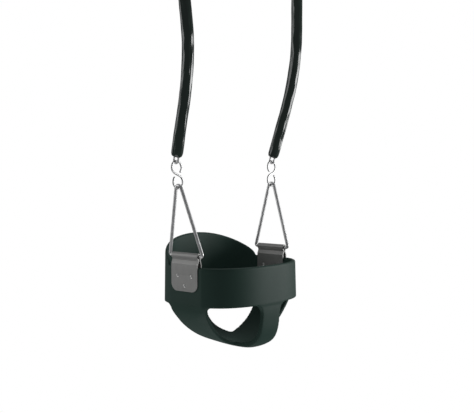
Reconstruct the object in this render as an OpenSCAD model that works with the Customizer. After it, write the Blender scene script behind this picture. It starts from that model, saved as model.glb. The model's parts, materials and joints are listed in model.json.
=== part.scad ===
// Toddler bucket swing: a moulded bucket seat with four openings, hung by two folded
// steel hanger plates, two steel triangles and two sleeved chains that end in S-hooks.
// Millimetres. +X is the child's left-right axis, the front is -Y, +Z is up. The origin
// is midway between the eyes of the two top hooks, where a swing beam holds the part.

/* [Seat] */
// Width over the flat pads that carry the hanger plates
seat_w = 320; // [300:2:340]
// Depth from front to back
seat_d = 262; // [240:2:280]
// Height of the belt above the leg openings
belt_h = 92; // [86:1:98]
// Depth from the top of the belt to the underside of the bowl, in the middle
seat_deep = 202; // [196:1:206]
// Wall thickness of the moulding
wall = 10; // [9.5:0.5:12]
// Height of the back rest above the belt, at its middle
back_h = 65; // [30:1:70]
// Half the width of the front and rear straps between the openings
strap_half = 31.5; // [28:0.5:36]
// How far a side wall reaches to the front, at the belt
front_edge = 62; // [56:1:66]
// How far a side wall reaches to the rear, at the belt
rear_edge = 54; // [50:1:60]
// Angle at which the seat hangs, front raised
pitch = 3; // [0:0.5:4]

/* [Hanger plates] */
// Width of a folded plate along its rod
plate_w = 86; // [80:1:88]
// Sheet thickness
sheet = 2.4; // [2:0.1:2.8]
// Depth of the plates below the top of the belt
plate_drop = 58; // [54:1:62]
// Diameter of the rivet shanks
rivet_d = 4.8; // [4:0.2:5.4]

/* [Triangles and hooks] */
// Wire diameter of the triangles
tri_wire = 8; // [7.6:0.1:8]
// Height of a triangle, rod centre to apex wire centre
tri_h = 165; // [150:1:175]
// How far the apex lies behind the middle of the rod, over the seat's centre of mass
apex_back = 11.5; // [6:0.5:14]
// Wire diameter of the S-hooks
hook_wire = 4.6; // [4.4:0.1:5.2]
// Outward lean of each chain
splay = 4.5; // [3:0.5:6]

/* [Chain and sleeve] */
// Wire diameter of the chain links
link_wire = 5; // [4.6:0.1:5]
// Outer diameter of the soft sleeve
sleeve_d = 28; // [27:0.5:29]

/* [Hidden] */
$fn = 48;

gap = 0.3;                      // running gap between linked wires
seg = 72;                       // points round the seat
plan_n = 2.6;                   // squareness of the seat in plan
side_m = 1.67;                  // squareness of the bowl seen from the front
end_m = 3.3;                    // squareness of the bowl seen from the side
tilt = 0.12;                    // share by which the bowl is deeper at its front end
slim = 6;                       // narrowing of the plan curve below the belt
flat_x = seat_w / 2;            // flat pads outside
plan_a = flat_x + 6;            // half width that the plan curve would have with no pads
plan_b = seat_d / 2;
flare = 2;                      // the belt widens this much towards its lower edge
floor_t = 10.5;
front_lean = 16;                // how much a side wall's front edge falls back, going down
rear_lean = 28;                 // how much its rear edge falls forward

roll_r = tri_wire / 2 + 1.2;    // inside of the plate's roll
rod_x = flat_x + sheet - (wall + 2 * sheet) / 2;
rod_z = 25;                     // rod above the top of the belt
tri_half = 54.5;                // half the rod length between the corner centres
corner_r = 5;
apex_r = 9;
hook_r = 15;
hook_len = 63.8;                // between the hook's two bearing points, wire centres
link_r = 6.75;                  // link bend, wire centre
link_len = 31;                  // wire centre to wire centre
link_pitch = link_len - link_wire - gap;
top_k = 18;                     // number of the top link, counted from 0 at the bottom
hook_head = 6;                  // lean of the lower hook towards the rear, going up

// Hanging line, measured in the plane of each chain: [y, height above the rod].
// Links lean to the front near the hook, and turn upright and a little back higher up.
function head(k) = -13.5 + 19.5 * ramp((k - 4) / 10);
function along(p, a, d) = [p[0] + d * sin(a), p[1] + d * cos(a)];
tri_bear = tri_h - (tri_wire + hook_wire) / 2 - gap;
hook_lo = along(along([0, 0], pitch, tri_bear), pitch + 90, apex_back);
hook_hi = along(hook_lo, hook_head, hook_len);
link_hook = (hook_wire + link_wire) / 2 + gap;
link_0 = along(hook_hi, head(0), -link_hook);
function link_at(k) = k == 0 ? link_0 : along(link_at(k - 1), head(k - 1), link_pitch);
top_hook_lo = along(link_at(top_k), head(top_k), link_len - link_hook);
hang = along(top_hook_lo, 0, hook_len - hook_wire / 2);

// Route of the sleeve, through the middle of every link.
route = [for (k = [0:top_k]) along(link_at(k), head(k), link_len / 2)];

// ---------- frames ----------
module whole() translate([0, -hang[0], -rod_up]) children();
rod_up = hang[1] * cos(splay);
module seat_frame() whole() rotate([-pitch, 0, 0]) translate([0, 0, -rod_z]) children();
module side(right) if (right) mirror([1, 0, 0]) children(); else children();
module line_frame(right) whole() side(right) translate([-rod_x, 0, 0])
    rotate([0, -splay, 0]) children();
module at_line(right, p, a) line_frame(right) translate([0, p[0], p[1]])
    rotate([-a, 0, 0]) children();

// ---------- seat ----------
function spow(v, e) = sign(v) * pow(abs(v), e);
function clamp(v, m) = max(-m, min(m, v));
function ramp(v) = let (t = max(0, min(1, v))) t * t * (3 - 2 * t);
function plan(t, inset, narrow = 0) = [
    clamp((plan_a - narrow - 0.85 * inset) * spow(cos(t), 2 / plan_n), flat_x - inset),
    (plan_b - inset) * spow(sin(t), 2 / plan_n)];
// Rise of the top edge: the back rest is half an ellipse seen from the front.
function rim(t) = let (p = plan(t, 0)) p[1] < 0 ? 0
    : back_h * sqrt(max(0, 1 - pow(p[0] / (flat_x - 2), 2)));
function level(inset, z, rise = 0, out = 0) = [for (i = [0:seg - 1])
    let (t = i * 360 / seg, p = plan(t, inset), w = out * ramp((abs(sin(t)) - 0.3) / 0.4))
    [p[0] * (1 + w / plan_a), p[1] * (1 + w / plan_b), z + rise * rim(t)]];
bowl_top = -belt_h - 4;
// One level of the bowl at a share of its depth. It closes to a rounded keel.
function bowl(inset, bottom, share) = [for (i = [0:seg - 1])
    let (p = plan(i * 360 / seg, inset, slim * min(1, share / 0.3)),
         y = p[1] * pow(1 - pow(share, end_m), 1 / end_m))
    [p[0] * pow(1 - pow(share, side_m), 1 / side_m), y,
     bowl_top + (bottom - bowl_top) * share * (1 - tilt * y / plan_b)]];
lip = 4;
shares = [0.06, 0.14, 0.24, 0.35, 0.46, 0.57, 0.67, 0.76, 0.84, 0.905, 0.95, 0.98, 0.995];
outer = concat([level(lip, 0, 1), level(1.2, -1.2, 1), level(0, -lip, 1),
                level(0, 2 - belt_h, 0, flare), level(1, bowl_top)],
               [for (q = shares) bowl(1, -seat_deep, q)]);
inner = concat([level(wall - lip, 0, 1), level(wall - 1.2, -1.2, 1),
                level(wall, -lip, 1), level(wall, bowl_top)],
               [for (q = shares) bowl(wall, floor_t - seat_deep, q)]);

module moulding() {
    no = len(outer);
    ni = len(inner);
    pts = concat([for (l = outer, p = l) p], [[0, 0, -seat_deep]],
                 [for (l = inner, p = l) p], [[0, 0, floor_t - seat_deep]]);
    base = no * seg + 1;
    faces = concat(
        [for (j = [0:no - 2], i = [0:seg - 1]) let (k = (i + 1) % seg, a = j * seg)
            each [[a + i, a + seg + k, a + k], [a + i, a + seg + i, a + seg + k]]],
        [for (i = [0:seg - 1]) [(no - 1) * seg + i, no * seg, (no - 1) * seg + (i + 1) % seg]],
        [for (j = [0:ni - 2], i = [0:seg - 1]) let (k = (i + 1) % seg, a = base + j * seg)
            each [[a + i, a + k, a + seg + k], [a + i, a + seg + k, a + seg + i]]],
        [for (i = [0:seg - 1]) let (a = base + (ni - 1) * seg)
            [a + i, a + (i + 1) % seg, base + ni * seg]],
        [for (i = [0:seg - 1]) let (k = (i + 1) % seg)
            each [[i, k, base + k], [i, base + k, base + i]]]);
    polyhedron(pts, [for (f = faces) [f[0], f[2], f[1]]], 10);
}

// A quarter plane whose inner corner at (u, v) is rounded.
module corner(u, v, r) {
    translate([u + r, v]) square([200, 300]);
    translate([u, v + r]) square([300, 200]);
    translate([u + r, v + r]) circle(r);
}
// One opening beyond a side wall that ends at edge and leans in below: rounded in plan, and
// with rounded upper corners seen from the front and the side.
module opening(edge, lean) intersection() {
    translate([0, 0, -250]) linear_extrude(200) corner(strap_half, edge - lean, 16);
    rotate([90, 0, 0]) translate([0, 0, -240]) linear_extrude(240)
        mirror([0, 1]) corner(strap_half, belt_h, 22);
    rotate([90, 0, 90]) linear_extrude(240) offset(r = 12) offset(delta = -12)
        polygon([[edge, -belt_h], [edge - lean, -seat_deep], [edge - lean, -300], [300, -300],
                 [300, -belt_h]]);
}

rivet_pos = [[-22.5, -22], [22.5, -22], [0, -45]];
insert_t = 2.6;
module rivet_holes(d) for (p = rivet_pos)
    translate([flat_x - 30, p[0], p[1]]) rotate([0, 90, 0]) cylinder(d = d, h = 40);

module seat_shell() color([0.18, 0.27, 0.25]) seat_frame() difference() {
    moulding();
    for (sx = [0, 1]) mirror([sx, 0, 0]) {
        mirror([0, 1, 0]) opening(front_edge, front_lean);
        opening(rear_edge, rear_lean);
    }
    for (sx = [0, 1]) mirror([sx, 0, 0]) {
        rivet_holes(rivet_d + 0.2);
        translate([rod_x - insert_t / 2 - 0.2, -38, -72]) cube([insert_t + 0.4, 76, 60]);
    }
}

module insert(right) color([0.6, 0.62, 0.64]) seat_frame() side(!right) difference() {
    translate([rod_x - insert_t / 2, -37.8, -71.8]) cube([insert_t, 75.6, 59.6]);
    rivet_holes(rivet_d + 0.2);
}

// ---------- hanger plates ----------
mid_r = roll_r + sheet / 2;
leaf = (wall + sheet) / 2;
// Middle of the sheet on one side of the rod: from the roll in to the neck, then out to the leaf.
bends = [[mid_r * cos(62), 0.6 - mid_r * sin(62)], [2.5, -mid_r - 3.4], [leaf, 6 - rod_z],
         [leaf, -rod_z - plate_drop - 2]];
function across(i) = let (d = bends[i + 1] - bends[i]) [-d[1], d[0]] / norm(d);
function mitre(i) = let (a = across(max(0, i - 1)), b = across(min(len(bends) - 2, i)))
    (a + b) / (1 + a * b) * sheet / 2;
// The folded sheet, standing along its rod: the roll, and a leaf down each face of the wall.
module folded(length) {
    linear_extrude(length) difference() {
        circle(roll_r + sheet);
        circle(roll_r);
        polygon([[0, 0], [20 * cos(62), -20 * sin(62)], [-20 * cos(62), -20 * sin(62)]]);
    }
    for (m = [0, 1]) mirror([m, 0, 0]) linear_extrude(length)
        polygon([for (i = [0:3]) bends[i] + mitre(i), for (i = [3:-1:0]) bends[i] - mitre(i)]);
}
module plate_outline() {
    r = 19;
    translate([-plate_w / 2, -plate_drop + r]) square([plate_w, plate_drop + rod_z + 20 - r]);
    for (s = [-1, 1]) translate([s * (plate_w / 2 - r), -plate_drop + r]) circle(r);
    translate([-plate_w / 2 + r, -plate_drop]) square([plate_w - 2 * r, r]);
}
module hanger_plate(right) color([0.47, 0.47, 0.46]) seat_frame() side(!right) difference() {
    intersection() {
        translate([rod_x, plate_w / 2 + 1, rod_z]) rotate([90, 0, 0]) folded(plate_w + 2);
        translate([rod_x - 20, 0, 0]) rotate([90, 0, 90]) linear_extrude(40) plate_outline();
    }
    rivet_holes(rivet_d + 0.2);
}

// ---------- rivets ----------
module rivets(right) color([0.7, 0.7, 0.7]) seat_frame() side(!right) for (p = rivet_pos)
    translate([flat_x + sheet, p[0], p[1]]) rotate([0, 90, 0]) {
        grip = wall + 2 * sheet;
        translate([0, 0, -grip]) cylinder(d = rivet_d, h = grip);
        for (m = [0, 1]) translate([0, 0, -grip * m]) mirror([0, 0, m])
            rotate_extrude() intersection() {
                translate([0, -3.2]) circle(5.2);
                square([10, 10]);
            }
    }

// ---------- wire work ----------
// Arc of wire in the plane of X and Y, centred on the origin.
module arc_wire(r, d, a, sweep) rotate([0, 0, a]) rotate_extrude(angle = sweep)
    translate([r, 0]) circle(d = d);
// Straight wire in that plane. It is a hair thinner than the bends and runs a little into them.
module bar(p, q, d) translate([p[0], p[1], 0]) rotate([0, 0, atan2(q[1] - p[1], q[0] - p[0])])
    translate([-0.3, 0, 0]) rotate([0, 90, 0]) cylinder(d = d - 0.04, h = norm(q - p) + 0.6);
// Stands the plane of X and Y up so that its X runs along Y and its Y runs up.
module upright() rotate([90, 0, 90]) children();

bend_c = tri_h - apex_r;
// Slope of the front (m = 0) or rear (m = 1) leg, whose foot is tri_half from the middle.
function reach(m) = m ? tri_half - apex_back : tri_half + apex_back;
function leg_a(m) = atan2(bend_c, reach(m)) + asin(apex_r / norm([reach(m), bend_c]));
function cut(m) = corner_r * tan((180 - leg_a(m)) / 2);
module triangle(right) color([0.78, 0.79, 0.8]) whole() side(right) rotate([-pitch, 0, 0])
    translate([-rod_x, 0, 0]) rotate([0, -splay, 0]) upright() {
        // Straight runs start where the corner bends end.
        bar([cut(0) - tri_half, 0], [tri_half - cut(1), 0], tri_wire);
        translate([apex_back, bend_c])
            arc_wire(apex_r, tri_wire, 90 - leg_a(1), leg_a(0) + leg_a(1));
        for (m = [0, 1]) mirror([1 - m, 0, 0]) {
            a = leg_a(m);
            foot = [tri_half, 0] + cut(m) * [-cos(a), sin(a)];
            tip = [tri_half - reach(m), bend_c] + apex_r * [sin(a), cos(a)];
            bar(foot, tip, tri_wire);
            translate([tri_half - cut(m), corner_r]) arc_wire(corner_r, tri_wire, -90, 180 - a);
        }
    }

// S-hook standing on its lower bearing point, in the plane of X and Z.
module s_hook() color([0.78, 0.79, 0.8]) translate([0, 0, hook_len / 2]) rotate([90, 0, 0]) {
    d = hook_len / 2 - hook_r;
    a = asin(hook_r / d);
    for (m = [0, 180]) rotate(m) translate([0, d]) {
        arc_wire(hook_r, hook_wire, -48, 228 + a);
        translate([hook_r * cos(-48), hook_r * sin(-48), 0]) sphere(d = hook_wire - 0.04);
    }
    p = [0, d] - hook_r * [cos(a), sin(a)];
    bar(p, -p, hook_wire);
}

// Chain link standing on its lower wire centre, in the plane of Y and Z.
module chain_link() color([0.74, 0.75, 0.76]) upright() translate([0, link_r]) {
    run = link_len - 2 * link_r;
    arc_wire(link_r, link_wire, 180, 180);
    translate([0, run]) arc_wire(link_r, link_wire, 0, 180);
    for (s = [-1, 1]) bar([s * link_r, 0], [s * link_r, run], link_wire);
}
module link_no(right, k) at_line(right, link_at(k), head(k)) rotate([0, 0, 90 * (k % 2)])
    chain_link();

// ---------- sleeve ----------
sleeve_sides = 12;
function way(i) = let (n = len(route) - 1, a = route[max(0, i - 1)], b = route[min(n, i + 1)])
    atan2(b[0] - a[0], b[1] - a[1]);
function ring(i, r) = [for (j = [0:sleeve_sides - 1]) let (t = j * 360 / sleeve_sides)
    [r * cos(t), route[i][0] + r * sin(t) * cos(way(i)), route[i][1] - r * sin(t) * sin(way(i))]];
module sleeve(right) color([0.1, 0.22, 0.17]) line_frame(right) {
    n = len(route);
    s = sleeve_sides;
    pts = concat([for (i = [0:n - 1]) each ring(i, sleeve_d / 2)],
                 [for (i = [0:n - 1]) each ring(i, sleeve_d / 2 - 2.6)]);
    polyhedron(pts, concat(
        [for (i = [0:n - 2], j = [0:s - 1]) let (k = (j + 1) % s, a = i * s, b = a + n * s)
            each [[a + j, a + s + k, a + k], [a + j, a + s + j, a + s + k],
                  [b + j, b + k, b + s + k], [b + j, b + s + k, b + s + j]]],
        [for (j = [0:s - 1]) let (k = (j + 1) % s, a = (n - 1) * s, b = a + n * s)
            each [[j, k, n * s + k], [j, n * s + k, n * s + j],
                  [a + j, b + k, a + k], [a + j, b + j, b + k]]]));
}

seat_shell();
insert(false);  // left_insert
insert(true);  // right_insert
hanger_plate(false);  // left_hanger_plate
hanger_plate(true);  // right_hanger_plate
rivets(false);  // left_rivets
rivets(true);  // right_rivets
triangle(false);  // left_triangle
triangle(true);  // right_triangle
at_line(false, hook_lo, hook_head) s_hook();  // left_hook
at_line(true, hook_lo, hook_head) s_hook();  // right_hook
link_no(false, 0);  // left_bottom_link
link_no(true, 0);  // right_bottom_link
for (k = [1:top_k - 1]) link_no(false, k);  // left_chain_links
for (k = [1:top_k - 1]) link_no(true, k);  // right_chain_links
sleeve(false);  // left_sleeve
sleeve(true);  // right_sleeve
link_no(false, top_k);  // left_top_link
link_no(true, top_k);  // right_top_link
at_line(false, top_hook_lo, 0) s_hook();  // left_top_hook
at_line(true, top_hook_lo, 0) s_hook();  // right_top_hook
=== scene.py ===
"""Looks of the toddler bucket swing: a moulded seat, two soft chain sleeves and the finish of the
steel parts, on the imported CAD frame. Lengths are in metres, and angles in degrees where they are
named. +X is the child's left-right axis, -Y the front of the seat and +Z is up."""

import json
from math import atan2, cos, pi, radians, sin, tan

import bmesh
import bpy
import numpy as np
from mathutils import Matrix, Vector, noise


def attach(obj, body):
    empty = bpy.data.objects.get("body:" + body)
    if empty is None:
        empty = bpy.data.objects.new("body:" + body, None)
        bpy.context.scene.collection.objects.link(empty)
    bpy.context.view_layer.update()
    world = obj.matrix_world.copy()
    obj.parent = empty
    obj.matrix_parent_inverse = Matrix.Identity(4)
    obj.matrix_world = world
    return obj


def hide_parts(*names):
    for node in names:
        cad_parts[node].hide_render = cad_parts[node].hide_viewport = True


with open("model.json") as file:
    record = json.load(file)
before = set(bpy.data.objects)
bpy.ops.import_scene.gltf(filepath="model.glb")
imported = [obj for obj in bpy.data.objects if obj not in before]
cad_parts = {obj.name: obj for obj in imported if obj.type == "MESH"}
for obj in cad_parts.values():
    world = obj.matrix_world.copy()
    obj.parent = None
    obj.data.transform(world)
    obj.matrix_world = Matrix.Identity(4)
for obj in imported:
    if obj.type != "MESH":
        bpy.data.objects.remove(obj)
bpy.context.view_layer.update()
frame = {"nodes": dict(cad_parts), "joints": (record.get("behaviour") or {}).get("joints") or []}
MM = 0.001

# ---------- driving sizes, the same as the CAD's ----------
PITCH = radians(3)               # front of the seat raised
SPLAY = radians(4.5)             # outward lean of each chain
ROD_X = 0.155                    # triangle rods, each side of the middle
ROD_UP = 0.025                   # rods above the top of the belt
FLAT_X = 0.160                   # flat pads under the hanger plates
PLAN_A = FLAT_X + 0.006          # half width of the plan curve
PLAN_B = 0.131                   # half depth of the seat
PLAN_N = 2.6                     # squareness in plan
SIDE_M, END_M = 1.67, 3.3        # squareness of the bowl from the front and from the side
TILT = 0.12                      # share by which the bowl is deeper at its front end
SLIM = 0.006                     # narrowing of the plan curve below the belt
WALL = 0.010
FLOOR_T = 0.0105
BELT_H = 0.092
SEAT_DEEP = 0.202                # from the top of the belt to the base, in the middle
BACK_H = 0.065                   # rise of the back rest above the belt
FLARE = 0.002                    # how far the belt's lower edge stands out, front and rear
LEDGE = 0.004                    # drop from the belt's lower edge to where the bowl starts
STEP_IN = 0.001                  # how far the bowl's outside is set in from the belt's
LIP = 0.0046                     # radius of the rounded top edge
STRAP_HALF = 0.0315              # half width of the front and rear straps
FRONT_EDGE, FRONT_LEAN = 0.062, 0.016    # a side wall's front edge, and how it falls back
REAR_EDGE, REAR_LEAN = 0.054, 0.028      # its rear edge, and how it falls forward
SLEEVE_R = 0.014
SLEEVE_WALL = 0.0026
LINK_PITCH = 0.0257
LINK_LEN = 0.031
TOP_K = 18                       # number of the top link
LINK_HOOK = 0.0051               # from a hook's bearing point to the wire centre of its link

joint = {j["name"]: j["pos_m"] for j in frame["joints"]}
ROD = Vector((0, joint["seat_level"][1], joint["seat_level"][2]))
SEAT = (Matrix.Translation(ROD) @ Matrix.Rotation(-PITCH, 4, "X")
        @ Matrix.Translation((0, 0, -ROD_UP)))


# ---------- camera and light ----------
AZIMUTH, ELEVATION, ROLL = radians(-47.8), radians(4.7), radians(2.06)
DISTANCE, LENS = 2.136, 66       # in metres and millimetres
AIM_RIGHT, AIM_UP = 0.0102, 0.1104       # where the camera points, from the middle of the rods
ROOM_LIGHT = 0.19                # light from the surround, which the camera sees as plain white
BACK = Vector((sin(AZIMUTH) * cos(ELEVATION), -cos(AZIMUTH) * cos(ELEVATION), sin(ELEVATION)))
RIGHT = Vector((cos(AZIMUTH), sin(AZIMUTH), 0))
UP = BACK.cross(RIGHT)


def camera():
    """The photographer's place, a little turned about the line of sight."""
    aim = ROD + AIM_RIGHT * RIGHT + Vector((0, 0, AIM_UP))
    data = bpy.data.cameras.new("camera")
    data.lens, data.sensor_width = LENS, 36
    cam = bpy.data.objects.new("camera", data)
    bpy.context.scene.collection.objects.link(cam)
    x = RIGHT * cos(ROLL) + UP * sin(ROLL)
    y = UP * cos(ROLL) - RIGHT * sin(ROLL)
    turn = Matrix((x, y, BACK)).transposed().to_4x4()
    cam.matrix_world = Matrix.Translation(aim + DISTANCE * BACK) @ turn
    bpy.context.scene.camera = cam


def softbox(name, place, size, power):
    """A soft light at a place given as right, up and towards the camera from the seat."""
    data = bpy.data.lights.new(name, "AREA")
    data.shape, data.size, data.size_y, data.energy = "RECTANGLE", size[0], size[1], power
    lamp = bpy.data.objects.new(name, data)
    bpy.context.scene.collection.objects.link(lamp)
    lamp.location = ROD + place[0] * RIGHT + place[1] * Vector((0, 0, 1)) + place[2] * BACK
    lamp.rotation_euler = (lamp.location - ROD).to_track_quat("Z", "Y").to_euler()


def studio():
    """A white surround with nothing in it, and soft light mostly from the right."""
    scene = bpy.context.scene
    scene.view_settings.view_transform = "Standard"
    world = bpy.data.worlds.new("white_room")
    scene.world = world
    world.use_nodes = True
    nodes, links = world.node_tree.nodes, world.node_tree.links
    seen = nodes["Background"]
    seen.inputs["Color"].default_value = (1, 1, 1, 1)
    seen.inputs["Strength"].default_value = 1.0
    lit = nodes.new("ShaderNodeBackground")
    lit.inputs["Color"].default_value = (0.96, 0.98, 1, 1)
    lit.inputs["Strength"].default_value = ROOM_LIGHT
    path = nodes.new("ShaderNodeLightPath")
    mix = nodes.new("ShaderNodeMixShader")
    links.new(path.outputs["Is Camera Ray"], mix.inputs[0])
    links.new(lit.outputs[0], mix.inputs[1])
    links.new(seen.outputs[0], mix.inputs[2])
    links.new(mix.outputs[0], nodes["World Output"].inputs["Surface"])
    softbox("key", (2.0, 0.22, -0.3), (1.2, 1.0), 27)
    softbox("fill", (-1.8, 0.45, -0.1), (0.9, 1.6), 8)
    softbox("top", (0.2, 2.0, -0.7), (1.6, 1.2), 8)
    softbox("bounce", (-0.3, -1.5, 0.5), (1.6, 1.6), 10)


# ---------- finishes ----------
def finish_of(name, dark, light, gloss, metallic=0.0, mottle=18, grain=900, relief=0.04,
              stretch=(1, 1, 1), specular=0.5, coat=0.0, wear=None):
    """A worn, slightly uneven finish. Two noises set the tone, the gloss and the relief; wear is
    an optional lighter colour that shows where edges have rubbed."""
    made = bpy.data.materials.new(name)
    made.use_nodes = True
    nodes, links = made.node_tree.nodes, made.node_tree.links
    shader = nodes["Principled BSDF"]
    shader.inputs["Metallic"].default_value = metallic
    shader.inputs["Specular IOR Level"].default_value = specular
    shader.inputs["Coat Weight"].default_value = coat
    shader.inputs["Coat Roughness"].default_value = 0.08
    place = nodes.new("ShaderNodeTexCoord")
    scale = nodes.new("ShaderNodeMapping")
    scale.inputs["Scale"].default_value = stretch
    links.new(place.outputs["Object"], scale.inputs["Vector"])

    def speckle(size, detail):
        made_noise = nodes.new("ShaderNodeTexNoise")
        made_noise.inputs["Scale"].default_value = size
        made_noise.inputs["Detail"].default_value = detail
        made_noise.inputs["Roughness"].default_value = 0.55
        links.new(scale.outputs["Vector"], made_noise.inputs["Vector"])
        return made_noise.outputs["Fac"]

    broad, fine = speckle(mottle, 4), speckle(grain, 3)
    tone = nodes.new("ShaderNodeValToRGB")
    tone.color_ramp.elements[0].position = 0.32
    tone.color_ramp.elements[1].position = 0.68
    tone.color_ramp.elements[0].color = (*dark, 1)
    tone.color_ramp.elements[1].color = (*light, 1)
    links.new(broad, tone.inputs["Fac"])
    colour = tone.outputs["Color"]
    if wear:
        edge = nodes.new("ShaderNodeNewGeometry")
        rub = nodes.new("ShaderNodeMapRange")
        rub.inputs["From Min"].default_value = 0.53
        rub.inputs["From Max"].default_value = 0.62
        rub.inputs["To Max"].default_value = 0.55
        links.new(edge.outputs["Pointiness"], rub.inputs["Value"])
        mix = nodes.new("ShaderNodeMix")
        mix.data_type = "RGBA"
        mix.inputs["B"].default_value = (*wear, 1)
        links.new(rub.outputs["Result"], mix.inputs["Factor"])
        links.new(colour, mix.inputs["A"])
        colour = mix.outputs["Result"]
    links.new(colour, shader.inputs["Base Color"])
    sheen = nodes.new("ShaderNodeMapRange")
    sheen.inputs["From Min"].default_value = 0.3
    sheen.inputs["From Max"].default_value = 0.7
    sheen.inputs["To Min"].default_value = gloss[0]
    sheen.inputs["To Max"].default_value = gloss[1]
    links.new(fine, sheen.inputs["Value"])
    links.new(sheen.outputs["Result"], shader.inputs["Roughness"])
    bump = nodes.new("ShaderNodeBump")
    bump.inputs["Strength"].default_value = relief
    bump.inputs["Distance"].default_value = 0.4 * MM
    links.new(fine, bump.inputs["Height"])
    links.new(bump.outputs["Normal"], shader.inputs["Normal"])
    return made


def paint(obj, finish):
    """Gives every slot of a piece or CAD node one finish."""
    if not obj.material_slots:
        obj.data.materials.append(None)
    for place in obj.material_slots:
        place.material = finish


def steel():
    """Finishes the steel pieces, which keep their CAD shapes."""
    zinc = finish_of("bright_zinc", (0.54, 0.54, 0.54), (0.66, 0.66, 0.66), (0.34, 0.46),
                     metallic=1.0, mottle=90, grain=1500, relief=0.06)
    plate = finish_of("dull_zinc_plate", (0.17, 0.168, 0.165), (0.215, 0.213, 0.21),
                      (0.48, 0.62), metallic=0.75, mottle=60, grain=1400, relief=0.10,
                      wear=(0.42, 0.42, 0.41))
    rivet = finish_of("rivet_steel", (0.42, 0.42, 0.42), (0.58, 0.58, 0.57), (0.30, 0.42),
                      metallic=0.9, mottle=200, grain=1600, relief=0.06)
    insert = finish_of("insert_steel", (0.34, 0.35, 0.36), (0.44, 0.45, 0.46), (0.4, 0.55),
                       metallic=1.0, mottle=80, grain=1000)
    for name, node in frame["nodes"].items():
        if "plate" in name:
            paint(node, plate)
        elif "rivets" in name:
            paint(node, rivet)
        elif "insert" in name:
            paint(node, insert)
        elif "sleeve" not in name and name != "seat_shell":
            paint(node, zinc)


# ---------- mesh helpers ----------
def piece(name, points, faces):
    """A new object made of points and faces, with its faces turned outwards."""
    mesh = bpy.data.meshes.new(name)
    mesh.from_pydata([tuple(p) for p in points], [], faces)
    edit = bmesh.new()
    edit.from_mesh(mesh)
    bmesh.ops.recalc_face_normals(edit, faces=edit.faces)
    edit.to_mesh(mesh)
    edit.free()
    made = bpy.data.objects.new(name, mesh)
    bpy.context.scene.collection.objects.link(made)
    return made


def settle(obj):
    """Applies the modifiers of an object to its mesh."""
    ready = obj.evaluated_get(bpy.context.evaluated_depsgraph_get())
    mesh = bpy.data.meshes.new_from_object(ready)
    obj.modifiers.clear()
    obj.data = mesh


def combine(obj, other, operation):
    """Unites, cuts or intersects two closed meshes, and removes the second one."""
    step = obj.modifiers.new(operation, "BOOLEAN")
    step.operation, step.solver, step.object = operation, "EXACT", other
    settle(obj)
    bpy.data.objects.remove(other)


# ---------- moulded seat ----------
def signed_power(v, e):
    return np.sign(v) * np.abs(v) ** e


def ramp(v):
    v = np.clip(v, 0, 1)
    return v * v * (3 - 2 * v)


AROUND = np.linspace(0, 2 * pi, 288, endpoint=False)


def plan(inset, narrow=0.0):
    """Outline of the wall in plan, with a flat pad each side for the hanger plates."""
    x = (PLAN_A - narrow - 0.85 * inset) * signed_power(np.cos(AROUND), 2 / PLAN_N)
    y = (PLAN_B - inset) * signed_power(np.sin(AROUND), 2 / PLAN_N)
    return np.clip(x, inset - FLAT_X, FLAT_X - inset), y


def rim():
    """Rise of the top edge: the back rest is half an ellipse seen from the front."""
    x, y = plan(0)
    arch = BACK_H * np.sqrt(np.clip(1 - (x / (FLAT_X - 0.002)) ** 2, 0, 1))
    return np.where(y < 0, 0, arch)


def flared(out):
    """How far the belt's lower edge stands out at each point: in full at the front and the rear,
    and not at all beside the flat pads."""
    return out * ramp((np.abs(np.sin(AROUND)) - 0.3) / 0.4)


def level(inset, z, rise=0.0, out=0.0):
    """One ring of the belt. rise is how much of the high back it takes part in."""
    x, y = plan(inset)
    w = flared(out)
    return np.stack([x * (1 + w / PLAN_A), y * (1 + w / PLAN_B), z + rise * rim()], axis=1)


def bowl(inset, bottom, share, out=0.0):
    """One ring of the bowl at a share of its depth. It closes to a rounded keel. The belt's flare,
    out, fades away below the belt, where the CAD's seat has a small ledge instead."""
    x, y = plan(inset, SLIM * min(1, share / 0.3))
    w = flared(out) * ramp(1 - share / 0.4)
    x = x * (1 - share**SIDE_M) ** (1 / SIDE_M)
    y = y * (1 + w / PLAN_B) * (1 - share**END_M) ** (1 / END_M)
    top = -BELT_H - LEDGE
    return np.stack([x, y, top + (bottom - top) * share * (1 - TILT * y / PLAN_B)], axis=1)


def wall_rings(inner):
    """Rings of one face of the wall, from its rounded top edge down to near the lowest point."""
    skin = (lambda d: WALL - d) if inner else (lambda d: d)
    rings = [level(skin(LIP * (1 - cos(a))), LIP * (sin(a) - 1), rise=1)
             for a in np.linspace(pi / 2, 0, 6)]
    for share in np.linspace(0.1, 0.9, 9):
        drop = LIP + share * (BELT_H - LIP)
        out = 0.0 if inner else FLARE * share
        rings.append(level(skin(0), -drop, rise=1 - share, out=out))
    if inner:
        rings.append(level(WALL, -BELT_H - LEDGE))
    else:
        rings += [level(0, 0.002 - BELT_H, out=FLARE),
                  level(STEP_IN, -BELT_H - LEDGE, out=FLARE)]
    inset = WALL if inner else STEP_IN
    bottom = (FLOOR_T if inner else 0) - SEAT_DEEP
    out = 0.0 if inner else FLARE
    rings += [bowl(inset, bottom, sin(q) ** 0.8, out) for q in np.linspace(0, pi / 2, 34)[1:-1]]
    return rings, bottom


def bucket():
    """The whole moulding before its openings are cut."""
    points, faces = [], []
    n = len(AROUND)
    starts = []
    for inner in (False, True):
        rings, bottom = wall_rings(inner)
        base = len(points)
        starts.append(base)
        points += [p for ring in rings for p in ring]
        tip = len(points)
        points.append((0, 0, bottom))
        for j in range(len(rings) - 1):
            a = base + j * n
            faces += [(a + i, a + (i + 1) % n, a + n + (i + 1) % n, a + n + i) for i in range(n)]
        last = tip - n
        faces += [(last + i, last + (i + 1) % n, tip) for i in range(n)]
    faces += [(i, (i + 1) % n, starts[1] + (i + 1) % n, starts[1] + i) for i in range(n)]
    return piece("seat", points, faces)


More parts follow.
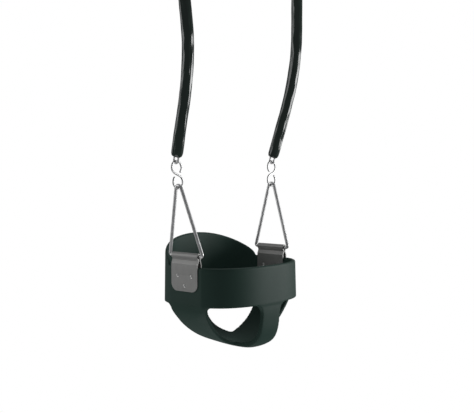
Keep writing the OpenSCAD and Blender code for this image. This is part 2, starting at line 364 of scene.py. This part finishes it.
CLEAR = 0.30                     # well beyond the seat, sideways or to the front or rear
CLEAR_DOWN = -0.26               # well below the seat


def corner(u, v, r):
    """A quarter plane beyond (u, v), its inner corner rounded."""
    turn = [(u + r - r * cos(a), v + r - r * sin(a)) for a in np.linspace(pi / 2, 0, 17)]
    return [(CLEAR, v)] + turn + [(u, CLEAR), (CLEAR, CLEAR)]


def prism(outline, low, high, place):
    """Extrudes an outline; place turns its u, v and depth into x, y and z."""
    n = len(outline)
    points = [place(u, v, d) for d in (low, high) for u, v in outline]
    sides = [(i, (i + 1) % n, n + (i + 1) % n, n + i) for i in range(n)]
    return piece("prism", points, sides + [tuple(range(n)), tuple(range(n, 2 * n))])


def side_edge(edge, lean, r=0.012):
    """Outline, seen from the side, of what lies beyond a side wall's leaning edge."""
    down = SEAT_DEEP - BELT_H
    steep = atan2(down, lean)                    # angle of the leaning edge to the level
    back = r / tan((pi - steep) / 2)             # from the sharp corner to where the bend starts
    middle = (edge + back, -BELT_H - r)
    bend = [(middle[0] + r * cos(a), middle[1] + r * sin(a))
            for a in np.linspace(pi / 2, pi / 2 + steep, 9)]
    foot = edge - lean
    return ([(CLEAR, -BELT_H)] + bend
            + [(foot, -SEAT_DEEP), (foot, CLEAR_DOWN), (CLEAR, CLEAR_DOWN)])


def opening(edge, lean):
    """One opening: rounded in plan, and at the top seen from the front and from the side."""
    cut = prism(corner(STRAP_HALF, edge - lean, 0.016), -0.25, -0.05, lambda u, v, d: (u, v, d))
    front = prism(corner(STRAP_HALF, BELT_H, 0.022), -0.01, 0.24, lambda u, v, d: (u, d, -v))
    side = prism(side_edge(edge, lean), -0.01, 0.24, lambda u, v, d: (d, u, v))
    combine(cut, front, "INTERSECT")
    combine(cut, side, "INTERSECT")
    points = [v.co.copy() for v in cut.data.vertices]
    faces = [tuple(f.vertices) for f in cut.data.polygons]
    bpy.data.objects.remove(cut)
    return points, faces


def openings():
    """The four openings: two for the legs in front, and two behind the hips."""
    points, faces = [], []
    for sy, edge, lean in ((-1, FRONT_EDGE, FRONT_LEAN), (1, REAR_EDGE, REAR_LEAN)):
        one, shape = opening(edge, lean)
        for sx in (1, -1):
            base = len(points)
            points += [(sx * p.x, sy * p.y, p.z) for p in one]
            faces += [tuple(base + i for i in (f if sx == sy else f[::-1])) for f in shape]
    return piece("openings", points, faces)


def moulded_seat():
    """The bucket with its openings, every edge softened as a soft moulding's are."""
    seat = bucket()
    combine(seat, openings(), "DIFFERENCE")
    grid = seat.modifiers.new("grid", "REMESH")
    grid.mode, grid.voxel_size, grid.use_smooth_shade = "VOXEL", 0.0015, True
    soften = seat.modifiers.new("soften", "SMOOTH")
    soften.factor, soften.iterations = 0.5, 9
    settle(seat)
    seat.data.transform(SEAT)
    seat.data.shade_smooth()
    paint(seat, finish_of("green_polymer", (0.0200, 0.0450, 0.0360), (0.0235, 0.0520, 0.0420),
                          (0.50, 0.60), mottle=9, grain=1100, relief=0.10, specular=0.20))
    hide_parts("seat_shell")
    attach(seat, "seat")


# ---------- chain sleeves ----------
def lean(k):
    """Lean of a link from upright: to the front near the hook, a little back higher up."""
    return radians(-13.5 + 19.5 * float(ramp((k - 4) / 10)))


def link_middles():
    """The middle of every link, which a sleeve's centre line runs through."""
    hook = joint["hook_tilt"]                    # where the bottom link hangs in its hook
    y = hook[1] - ROD.y - LINK_HOOK * sin(lean(0))
    z = (hook[2] - ROD.z) / cos(SPLAY) - LINK_HOOK * cos(lean(0))
    middles = []
    for k in range(TOP_K + 1):
        middles.append((y + LINK_LEN / 2 * sin(lean(k)), z + LINK_LEN / 2 * cos(lean(k))))
        y, z = y + LINK_PITCH * sin(lean(k)), z + LINK_PITCH * cos(lean(k))
    return middles


def smooth_route(spacing):
    """Points and directions every so often along a smooth curve through the links."""
    knots = np.array(link_middles())
    steps = np.linalg.norm(np.diff(knots, axis=0), axis=1)
    at = np.concatenate([[0], np.cumsum(steps)])
    slope = np.gradient(knots, at, axis=0)
    where = np.linspace(0, at[-1], round(at[-1] / spacing) + 1)
    k = np.clip(np.searchsorted(at, where, side="right") - 1, 0, len(steps) - 1)
    h = steps[k][:, None]
    u = ((where - at[k]) / steps[k])[:, None]
    points = ((2 * u**3 - 3 * u**2 + 1) * knots[k] + (u**3 - 2 * u**2 + u) * h * slope[k]
              + (3 * u**2 - 2 * u**3) * knots[k + 1] + (u**3 - u**2) * h * slope[k + 1])
    ahead = np.gradient(points, where, axis=0)
    return where, points, ahead / np.linalg.norm(ahead, axis=1)[:, None]


def skin_height(s, a, seed):
    """How far the soft vinyl stands in or out at length s and angle a: the links inside press it
    out in turn, and it puckers into long creases."""
    link = 0.35 * cos(2 * a) * cos(pi * s / LINK_PITCH)
    around = Vector((cos(a), sin(a), 0))
    bulge = 0.7 * noise.noise(around * 0.8 + Vector((seed, 3, s * 9)))
    crease = noise.noise(around * 1.9 + Vector((seed, 7, s * 14)))
    fold = 1 - 2 * abs(noise.noise(around * 2.6 + Vector((seed, 11, s * 20))))
    return (link + bulge + 0.9 * crease + 0.45 * fold - 0.4) * MM


def sleeve(name, mirror, seed):
    """A soft tube round one chain, its open ends drawn in round the links."""
    turn = Matrix.Translation(ROD)
    if mirror:
        turn = turn @ Matrix.Scale(-1, 4, (1, 0, 0))
    turn = turn @ Matrix.Translation((-ROD_X, 0, 0)) @ Matrix.Rotation(-SPLAY, 4, "Y")
    spacing = 0.0016
    where, line, ahead = smooth_route(spacing)
    total = float(where[-1])
    sides = 112
    angles = np.linspace(0, 2 * pi, sides, endpoint=False)
    end = 0.013                                   # length over which an end is drawn in
    mouth = (0.0062, 0.0101)                      # half widths of a mouth, across and along a link

    def ring(i, inner):
        s = float(where[i])
        near = min(s, total - s)
        draw = max(0.0, 1 - near / end)
        round_in = 1 - (1 - draw**2.4) ** 0.5 if draw < 1 else 1.0
        normal = Vector((0, ahead[i][1], -ahead[i][0]))
        middle = Vector((0, *line[i]))
        out = []
        for a in angles:
            r = SLEEVE_R - SLEEVE_WALL if inner else SLEEVE_R + skin_height(s, a, seed) * (1 - draw)
            rx = r + (mouth[0] - r) * round_in
            ry = r + (mouth[1] - r) * round_in
            out.append(turn @ (middle + Vector((rx * cos(a), 0, 0)) + normal * (ry * sin(a))))
        return out

    count = len(where)
    rings = [ring(i, False) for i in range(count)]
    rings += [ring(i, True) for i in reversed(range(1, count - 1))]
    points = [p for r in rings for p in r]
    faces = []
    for j in range(len(rings)):
        a, b = j * sides, ((j + 1) % len(rings)) * sides
        faces += [(a + i, a + (i + 1) % sides, b + (i + 1) % sides, b + i) for i in range(sides)]
    tube = piece(f"{name}_sleeve_skin", points, faces)
    tube.data.shade_smooth()
    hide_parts(f"{name}_sleeve")
    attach(tube, f"{name}_chain")
    return tube


def sleeves():
    vinyl = finish_of("sleeve_vinyl", (0.0045, 0.014, 0.0098), (0.007, 0.021, 0.0145), (0.13, 0.24),
                      mottle=30, grain=260, relief=0.16, stretch=(1, 1, 0.12), coat=0.35)
    for name, mirror, seed in (("left", False, 1.7), ("right", True, 5.3)):
        paint(sleeve(name, mirror, seed), vinyl)


# ---------- build ----------
camera()
sleeves()
studio()
steel()
moulded_seat()
